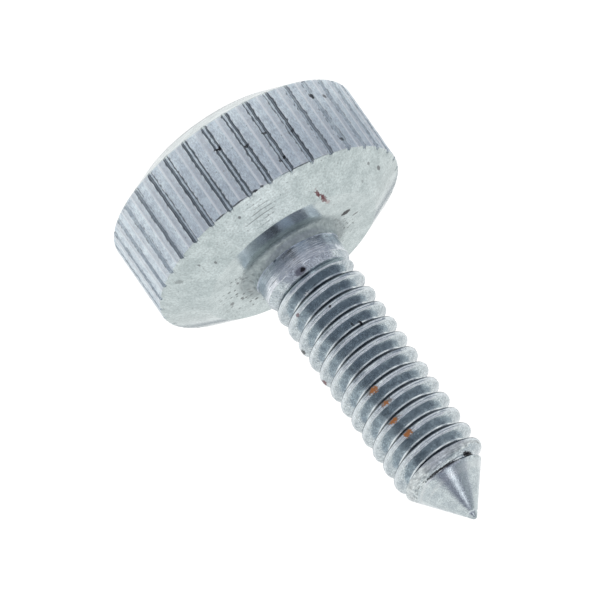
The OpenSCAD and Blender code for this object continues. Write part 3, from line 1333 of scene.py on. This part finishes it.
FINISHES: dict[Zone, Finish] = {
    Zone.FACE: Finish(
        "turned_face", (0.68, 0.755, 0.765), (0.5, 0.57, 0.58), (0.09, 0.18), 1.0, (0.13, 0.13, 0.13), 0.006,
        1.0, 0.13, 0.005, speck_share=0.5, speck_spacing=0.42, speck_size=0.14, speck_strength=0.55,
        foot_r=3.95, crowd_r=5.0, arc_place=(0.2, -7.6, 8.1), arc_size=(1.2, 0.9, 1.5),
        marks=FACE_MARKS + EDGE_REFLECTION_MARKS,
    ),
    Zone.KNURL: Finish(
        "knurled_band", (0.85, 0.95, 1.0), (0.6, 0.68, 0.75), (0.34, 0.5), 0.6, (0.06, 0.06, 0.18), 0.014,
        0.0, 0.3, 0.002, metal=0.48, speck_share=0.4, speck_spacing=0.4, speck_size=0.14,
        speck_strength=0.5, painted_shade_tint=(0.03, 0.04, 0.06), painted_shade_share=0.95,
        worn_and_highlight_tint=(0.93, 0.97, 1.0), worn_and_highlight_share=0.8, worn_and_highlight_matt=0.4,
        dusty_tint=(0.62, 0.65, 0.69), tone=(0.8, 1.12), marks=KNURL_MARKS + EDGE_REFLECTION_MARKS,
    ),
    Zone.NECK: Finish(
        "turned_neck", (0.94, 0.96, 1.0), (0.68, 0.71, 0.78), (0.06, 0.14), 0.8, (0.3, 0.3, 0.05), 0.004,
        0.0, 0.09, 0.018, metal=0.95, line_share=0.85, marks=NECK_MARKS,
    ),
    Zone.THREAD: Finish(
        "rolled_thread", (0.72, 0.79, 0.82), (0.42, 0.48, 0.53), (0.08, 0.16), 0.4, (0.07, 0.07, 0.05), 0.008,
        0.0, 0.08, 0.002, speck_share=0.35, speck_spacing=0.35, speck_size=0.16,
        painted_shade_tint=(0.03, 0.045, 0.06), painted_shade_share=1.0, painted_shade_off_camera=0.15,
        worn_and_highlight_tint=(0.9, 0.94, 0.96), worn_and_highlight_share=0.6, tone=(0.62, 1.25), marks=THREAD_MARKS,
    ),
    Zone.POINT: Finish(
        "turned_point", (0.7, 0.77, 0.79), (0.5, 0.56, 0.6), (0.1, 0.2), 0.5, (0.05, 0.05, 0.5), 0.008,
        0.0, 0.1, 0.003, tone=(0.8, 1.15),
    ),
    Zone.BURR: Finish(
        "rolled_burr", (0.88, 0.94, 0.95), (0.34, 0.39, 0.42), (0.26, 0.4), 0.3, (0.5, 0.5, 0.06), 0.014,
        0.0, 0.13, 0.02, speck_share=0.4, speck_spacing=0.3, speck_size=0.2, line_share=0.85,
        tone=(0.7, 1.2), marks=THREAD_MARKS,
    ),
}


@dataclass
class ThumbScrew:
    """The whole screw, as one closed skin with six finishes."""

    head: Head
    thread: Thread
    point: Point
    neck_cut: float = 10.86
    point_cut: float = 28.3
    burr_start: float = 26.2
    burr_end: float = 27.66
    on_cone: float = 0.015
    tip_l: float = 0.5
    joint_gap: float = 0.05
    sharp_angle: float = 36.0
    ring_angle: float = 9.0

    def build(self) -> Object:
        """Builds, joins and dresses the screw.

        Returns:
            The finished object, riding on its body.
        """
        whole = bmesh.new()
        parts = (
            self.head.build(),
            self.thread.build(self.head.neck_r, self.point, (self.neck_cut, self.point_cut)),
            self.point.build(self.point_cut + self.joint_gap),
        )
        for part in parts:
            store = bpy.data.meshes.new("part")
            part.to_mesh(store)
            part.free()
            whole.from_mesh(store)
            bpy.data.meshes.remove(store)
        self.bridge(whole, self.neck_cut)
        self.bridge(whole, self.point_cut)
        bmesh.ops.recalc_face_normals(whole, faces=whole.faces)
        for face in whole.faces:
            face.smooth = True
            face.material_index = self.zone(face.calc_center_median()).value
        for edge in whole.edges:
            limit = self.ring_angle if self.crisp_ring(edge) else self.sharp_angle
            edge.smooth = math.degrees(edge.calc_face_angle(0.0)) < limit
        loose = [edge for edge in whole.edges if not edge.is_manifold]
        triangles = sum(len(face.verts) - 2 for face in whole.faces)
        LOG.info("screw: %d triangles, %d open edges", triangles, len(loose))
        bmesh.ops.scale(whole, vec=(MM, MM, MM), verts=whole.verts)
        mesh = bpy.data.meshes.new("dressed_screw")
        whole.to_mesh(mesh)
        whole.free()
        made = bpy.data.objects.new("dressed_screw", mesh)
        bpy.context.collection.objects.link(made)
        for zone in Zone:
            mesh.materials.append(FINISHES[zone].material())
        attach(made, BODY)
        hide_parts(NODE)
        return made

    def crisp_ring(self, edge: BMEdge) -> bool:
        """Finds the level edges round the flat face and at both ends of the neck.

        Args:
            edge: Edge to test.

        Returns:
            True if the edge is one of them.
        """
        low, high = sorted(vert.co.z for vert in edge.verts)
        head = self.head
        at_neck = head.head_h + head.fillet_r - 0.05 < low < self.neck_cut + 0.05
        at_face = abs(low - head.head_h) < 0.03 and edge.verts[0].co.xy.length > head.face_r - 0.1
        return high - low < 0.004 and (at_neck or at_face)

    def bridge(self, mesh: BMesh, height: float) -> None:
        """Closes the gap between two open rings near a height.

        Args:
            mesh: Mesh with the rings.
            height: Height that both rings are close to.
        """
        rim = [edge for edge in mesh.edges if edge.is_boundary and abs(edge.verts[0].co.z - height) < 0.3]
        bmesh.ops.bridge_loops(mesh, edges=rim)

    def zone(self, centre: Vector) -> Zone:
        """Finds the finish for a face.

        Args:
            centre: Middle of the face.

        Returns:
            The zone that it belongs to.
        """
        radius = math.hypot(centre.x, centre.y)
        head = self.head
        trimmed = abs(radius - self.point.radius_at(centre.z)) < self.on_cone
        if (trimmed and centre.z > self.burr_end) or centre.z > self.point.tip_z - self.tip_l:
            return Zone.POINT
        if trimmed and centre.z > self.burr_start:
            return Zone.BURR
        if centre.z > head.neck_end:
            return Zone.THREAD
        if centre.z > head.head_h + head.fillet_r * 0.9:
            return Zone.NECK
        in_band = head.bevel_h + 0.03 < centre.z < head.head_h - head.bevel_h - 0.03
        return Zone.KNURL if in_band and radius > head.head_r - 0.6 else Zone.FACE


@dataclass(frozen=True)
class Softbox:
    """One soft light, aimed at the middle of the screw. Its lengths are in metres."""

    name: str
    azimuth: float
    elevation: float
    width: float
    height: float
    radiance: float
    tint: Colour = (1.0, 1.0, 1.0)
    distance: float = 0.6

    def build(self, aim: Vector) -> None:
        """Hangs the light.

        Args:
            aim: Point that it faces, in metres.
        """
        light = bpy.data.lights.new(self.name, "AREA")
        light.shape = "RECTANGLE"
        light.size = self.width
        light.size_y = self.height
        light.color = self.tint
        light.energy = self.radiance * math.pi * self.width * self.height
        lamp = bpy.data.objects.new(self.name, light)
        bpy.context.collection.objects.link(lamp)
        out = direction(self.azimuth, self.elevation)
        turned = out.to_track_quat("Z", "Y").to_matrix().to_4x4()
        lamp.matrix_world = Matrix.Translation(aim + out * self.distance) @ turned


def direction(azimuth: float, elevation: float) -> Vector:
    """Unit vector from the screw towards a place round it.

    Args:
        azimuth: Angle about the axis from the front, towards the screw's -X side, in degrees.
        elevation: Angle above the floor, in degrees.

    Returns:
        The vector.
    """
    a, e = math.radians(azimuth), math.radians(elevation)
    return Vector((-math.sin(a) * math.cos(e), -math.cos(a) * math.cos(e), math.sin(e)))


@dataclass
class Studio:
    """Pale floor, soft light and the camera.

    The aim, the width of the view and the sensor are in millimetres.
    """

    view_azimuth: float = 0.0
    view_elevation: float = 21.35
    view_roll: float = 145.11
    aim: Place = (1.215, 3.935, 10.07)
    distance: float = 1.0
    frame_width: float = 38.82
    sensor: float = 36.0
    light_aim_z: float = 0.015

    def build(self) -> None:
        """Sets up the whole studio."""
        self.camera()
        Tent().build()
        Paper().build()
        middle = Vector((0.0, 0.0, self.light_aim_z))
        for box in SOFTBOXES:
            box.build(middle)
        bpy.context.scene.view_settings.view_transform = "Standard"

    def camera(self) -> None:
        """Places the long-lens camera."""
        out = direction(self.view_azimuth, self.view_elevation)
        level = Z_AXIS.cross(out).normalized()
        rise = out.cross(level)
        roll = math.radians(self.view_roll)
        right = level * math.cos(roll) + rise * math.sin(roll)
        up = rise * math.cos(roll) - level * math.sin(roll)
        lens = bpy.data.cameras.new("camera")
        lens.sensor_width = self.sensor
        lens.lens = self.sensor * self.distance / (self.frame_width * MM)
        lens.clip_start, lens.clip_end = 0.05, 20.0
        made = bpy.data.objects.new("camera", lens)
        bpy.context.collection.objects.link(made)
        turned = Matrix((right, up, out)).transposed().to_4x4()
        made.matrix_world = Matrix.Translation(Vector(self.aim) * MM + out * self.distance) @ turned
        bpy.context.scene.camera = made


@dataclass
class Tent:
    """Soft light all round: bright behind, beside and above, dim in front.

    Angles are in degrees. A run of four angles says where a card starts to
    fade in, is full, starts to fade out and is gone.
    """

    tent: Colour = (0.88, 0.89, 0.88)
    dim: Colour = (0.56, 0.56, 0.62)
    dim_left: float = -80.0
    dim_lean: float = 0.9
    dim_right: float = 95.0
    dim_soft: float = 6.0
    high: tuple[Colour, Colour] = ((0.3, 0.31, 0.37), (0.41, 0.44, 0.46))
    high_split: tuple[float, float] = (48.0, 56.0)
    high_from: tuple[float, float] = (28.0, 44.0)
    low: tuple[Colour, Colour] = ((0.26, 0.31, 0.31), (0.09, 0.1, 0.12))
    low_span: Span = (-113.0, -63.0, 83.0, 127.0)
    low_split: tuple[float, float] = (-45.0, -15.0)
    low_top: tuple[float, float] = (24.3, 22.7)
    card: Colour = (0.5, 0.57, 0.66)
    card_span: Span = (14.0, 22.0, 44.0, 54.0)
    top: Colour = (0.98, 0.98, 0.98)
    top_from: tuple[float, float] = (64.0, 80.0)
    lens_level: Span = (11.0, 13.0, 40.0, 42.0)
    lens: Colour = (0.004, 0.004, 0.004)
    lens_half: tuple[float, float] = (8.0, 6.5)
    stand: Colour = (0.08, 0.08, 0.1)
    stand_at: float = -20.0
    stand_half: tuple[float, float] = (5.0, 4.0)
    wing: Colour = (1.12, 1.15, 1.16)
    wing_span: Span = (92.0, 108.0, 138.0, 152.0)
    wing_top: tuple[float, float] = (26.0, 23.5)
    second_reflection: float = 2.5

    def build(self) -> None:
        """Makes the world's light."""
        world = bpy.data.worlds.new("studio")
        bpy.context.scene.world = world
        world.use_nodes = True
        shader = Shader(world.node_tree)
        split = shader.node("SeparateXYZ")
        shader.join(shader.node("TexCoord").outputs["Generated"], split.inputs[0])
        x, y, z = split.outputs
        azimuth = shader.azimuth(x, y)
        elevation = shader.product(shader.math("ARCSINE", z), 180.0 / math.pi)
        colour = self.walls(shader, azimuth, elevation)
        colour = self.cards(shader, azimuth, elevation, colour)
        background = shader.node("Background")
        seen = shader.node("LightPath").outputs["Is Camera Ray"]
        shader.join(shader.blend(seen, colour, (1.0, 1.0, 1.0)), background.inputs["Color"])
        output = shader.node("OutputWorld")
        shader.join(background.outputs[0], output.inputs["Surface"])

    def walls(self, shader: Shader, azimuth: NodeSocket, elevation: NodeSocket) -> NodeSocket:
        """Colour of the bright walls and of the dim front.

        Args:
            shader: World's tree.
            azimuth: Angle about the axis.
            elevation: Angle above the floor.

        Returns:
            The colour's socket.
        """
        soft = self.dim_soft
        left = shader.math("ADD", self.dim_left, shader.product(elevation, self.dim_lean))
        past_left = shader.step(shader.math("SUBTRACT", azimuth, left), -soft, soft)
        before_right = shader.step(azimuth, self.dim_right + soft, self.dim_right - soft)
        high = shader.blend(shader.step(azimuth, *self.high_split), *self.high)
        dim = shader.blend(shader.step(elevation, *self.high_from), self.dim, high)
        return shader.blend(shader.product(past_left, before_right), self.tent, dim)

    def cards(
        self, shader: Shader, azimuth: NodeSocket, elevation: NodeSocket, colour: NodeSocket
    ) -> NodeSocket:
        """Adds the bright top, and the cards that only second reflections see.

        Args:
            shader: World's tree.
            azimuth: Angle about the axis.
            elevation: Angle above the floor.
            colour: Colour of the walls.

        Returns:
            The new colour's socket.
        """
        depth = shader.node("LightPath").outputs["Ray Depth"]
        second = shader.math("GREATER_THAN", depth, self.second_reflection)
        aside = shader.math("ABSOLUTE", azimuth)
        from_stand = shader.math("ABSOLUTE", shader.math("SUBTRACT", azimuth, self.stand_at))
        level = shader.product(shader.within(elevation, self.lens_level), second)
        strip = shader.blend(shader.step(azimuth, *self.low_split), *self.low)
        strip = shader.blend(shader.within(azimuth, self.card_span), strip, self.card)
        low = shader.product(
            shader.within(azimuth, self.low_span), shader.step(elevation, *self.low_top), second
        )
        wing = shader.product(
            shader.within(aside, self.wing_span), shader.step(elevation, *self.wing_top), second
        )
        for share, tint in (
            (low, strip),
            (shader.step(elevation, *self.top_from), self.top),
            (shader.product(shader.step(from_stand, *self.stand_half), level), self.stand),
            (shader.product(shader.step(aside, *self.lens_half), level), self.lens),
            (wing, self.wing),
        ):
            colour = shader.blend(share, colour, tint)
        return colour


@dataclass
class Paper:
    """Plain pale floor that only reflections see as darker in places.

    Angles are in degrees, lengths in metres. A run of four numbers says where
    a zone starts to fade in, is full, starts to fade out and is gone.
    """

    floor_r: float = 3.0
    paper: Colour = (0.97, 0.98, 0.98)
    near: Colour = (0.3, 0.33, 0.38)
    near_r: tuple[float, float] = (0.014, 0.017)
    near_span: Span = (-65.0, -61.0, 111.0, 117.0)
    far_r: tuple[float, float] = (0.038, 0.078)
    far_split: tuple[float, float] = (55.0, 95.0)
    far_soft: float = 0.003
    wide_r: Span = (0.04, 0.046, 0.09, 0.11)
    front: Colour = (0.42, 0.44, 0.48)
    front_share: float = 0.9
    front_span: Span = (-66.0, -58.0, 52.0, 68.0)
    lens: Colour = (0.16, 0.18, 0.21)
    lens_span: Span = (-54.0, -46.0, -18.0, -10.0)
    back: Colour = (0.42, 0.45, 0.48)
    back_from: tuple[float, float] = (150.0, 165.0)
    matt: Colour = (0.2, 0.2, 0.2)
    glow: float = 0.96

    def build(self) -> None:
        """Lays the floor."""
        mesh = bmesh.new()
        bmesh.ops.create_circle(mesh, cap_ends=True, segments=64, radius=self.floor_r)
        store = bpy.data.meshes.new("floor")
        mesh.to_mesh(store)
        mesh.free()
        made = bpy.data.objects.new("floor", store)
        bpy.context.collection.objects.link(made)
        store.materials.append(self.material())

    def colour(self, shader: Shader) -> NodeSocket:
        """Colour that reflections see.

        Args:
            shader: Floor's tree.

        Returns:
            The colour's socket.
        """
        place = shader.node("TexCoord").outputs["Object"]
        split = shader.node("SeparateXYZ")
        shader.join(place, split.inputs[0])
        azimuth = shader.azimuth(split.outputs[0], split.outputs[1])
        aside = shader.math("ABSOLUTE", azimuth)
        reach = shader.vector("LENGTH", place)
        far = shader.step(azimuth, *self.far_split, *self.far_r)
        near = shader.product(
            shader.within(azimuth, self.near_span),
            shader.step(reach, *self.near_r),
            shader.step(shader.math("SUBTRACT", reach, far), self.far_soft, 0.0),
        )
        wide = shader.within(reach, self.wide_r)
        front = shader.product(shader.within(azimuth, self.front_span), wide)
        colour = shader.blend(shader.product(front, self.front_share), self.paper, self.front)
        for share, tint in (
            (shader.product(front, shader.within(azimuth, self.lens_span)), self.lens),
            (shader.product(shader.step(aside, *self.back_from), wide), self.back),
            (near, self.near),
        ):
            colour = shader.blend(share, colour, tint)
        return colour

    def material(self) -> Material:
        """Pale matt paper that keeps only a breath of shadow.

        Returns:
            The floor's material.
        """
        made = bpy.data.materials.new("pale_floor")
        made.use_nodes = True
        shader = Shader(made.node_tree)
        reflected = shader.node("Emission")
        shader.join(self.colour(shader), reflected.inputs["Color"])
        shown = shader.node("BsdfDiffuse")
        shader.join(self.matt, shown.inputs["Color"])
        glow = shader.node("Emission")
        shader.join((1.0, 1.0, 1.0), glow.inputs["Color"])
        shader.join(self.glow, glow.inputs["Strength"])
        lit = shader.node("AddShader")
        shader.join(shown.outputs[0], lit.inputs[0])
        shader.join(glow.outputs[0], lit.inputs[1])
        pick = shader.node("MixShader")
        shader.join(shader.node("LightPath").outputs["Is Camera Ray"], pick.inputs[0])
        shader.join(reflected.outputs[0], pick.inputs[1])
        shader.join(lit.outputs[0], pick.inputs[2])
        output = shader.node("OutputMaterial")
        shader.join(pick.outputs[0], output.inputs["Surface"])
        return made


SOFTBOXES = (
    Softbox("strip", 25.0, 50.6, 0.15, 0.2, 1.05),
)


def main() -> None:
    """Builds the studio and the screw, and reports the screw."""
    logging.basicConfig(level=logging.INFO, format="%(name)s: %(message)s", stream=sys.stdout)
    low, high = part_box(NODE)
    tip_z = (high.z - low.z) / MM
    studio = Studio()
    studio.build()
    head = Head()
    screw = ThumbScrew(head, Thread(start_z=head.neck_end), Point(tip_z=tip_z))
    made = screw.build()
    LOG.info("%s: %d vertices, tip at %.3f mm", made.name, len(made.data.vertices), tip_z)


if __name__ == "__main__":
    main()
